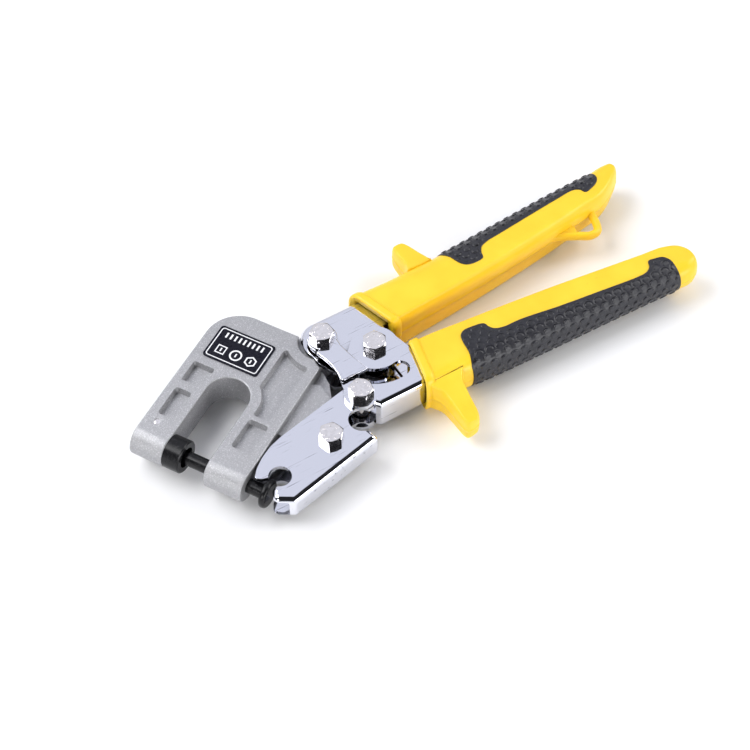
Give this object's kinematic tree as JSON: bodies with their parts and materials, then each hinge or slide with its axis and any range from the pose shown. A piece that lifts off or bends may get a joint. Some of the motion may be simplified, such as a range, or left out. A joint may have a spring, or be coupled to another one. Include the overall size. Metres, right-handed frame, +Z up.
{
  "type": "metal stud crimper",
  "caption": "Hand crimper for metal studs: cast U-shaped head with die and sliding punch, chromed channel links, lock plate and two yellow handles with black grips.",
  "frame": {"origin": "bottom centre of the closed tool's bounding box, as it lies flat", "axes": "+X towards the handle ends, +Y towards the fixed handle, +Z up, along the bolts"},
  "size_m": [0.2772, 0.1076, 0.0272],
  "materials": {
    "cast_alloy": "sand-cast, blasted, light grey",
    "label": "black printed plate with a white border",
    "chrome_steel": "bright chrome over pressed steel sheet",
    "bolt_steel": "nickel plated",
    "black_steel": "black oxide, oiled",
    "spring_steel": "drawn wire",
    "yellow_plastic": "moulded, semi-gloss",
    "black_rubber": "moulded soft grip with raised scales"
  },
  "bodies": {
    "head_and_fixed_handle": {"head_casting": "cast_alloy", "label_plate": "label", "die_ring": "black_steel", "die_retaining_pin": "bolt_steel", "fixed_handle_channel": "chrome_steel", "lock_spacer": "chrome_steel", "return_spring": "spring_steel", "pivot_sleeve": "bolt_steel", "lever_sleeve": "bolt_steel", "handle_pivot_bolt": "bolt_steel", "handle_pivot_nut": "bolt_steel", "lock_bolt": "bolt_steel", "lock_nut": "bolt_steel", "lever_pivot_bolt": "bolt_steel", "lever_pivot_nut": "bolt_steel", "fixed_handle_body": "yellow_plastic", "fixed_handle_grip": "black_rubber"},
    "moving_handle": {"moving_handle_channel": "chrome_steel", "moving_handle_body": "yellow_plastic", "moving_handle_grip": "black_rubber", "drive_bolt": "bolt_steel", "drive_nut": "bolt_steel", "drive_sleeve": "bolt_steel"},
    "lever": {"punch_lever": "chrome_steel"},
    "punch_slider": {"punch": "black_steel"},
    "lock": {"lock_plate": "chrome_steel"}
  },
  "joints": [
    {"name": "handle_open", "type": "hinge", "parent": "head_and_fixed_handle", "child": "moving_handle", "pos_m": [-0.02124, 0.00363, 0.01205], "axis": [0, 0, -1], "range_deg": [0, 20]},
    {"name": "lever_turn", "type": "hinge", "parent": "head_and_fixed_handle", "child": "lever", "pos_m": [-0.06284, -0.02787, 0.01205], "axis": [0, 0, 1], "range_deg": [0, 21.1]},
    {"name": "punch_slide", "type": "slide", "parent": "head_and_fixed_handle", "child": "punch_slider", "axis": [0.5105, -0.8599, 0], "range_m": [0, 0.0137]},
    {"name": "lock_turn", "type": "hinge", "parent": "head_and_fixed_handle", "child": "lock", "pos_m": [-0.03963, 0.01883, 0.01205], "axis": [0, 0, 1], "range_deg": [0, 18.1]}
  ],
  "couplings": [
    {"joint": "lever_turn", "follows": "handle_open", "ratio": 1.05},
    {"joint": "punch_slide", "follows": "handle_open", "m_per_rad": 0.038961},
    {"joint": "lock_turn", "follows": "handle_open", "ratio": 0.9}
  ]
}
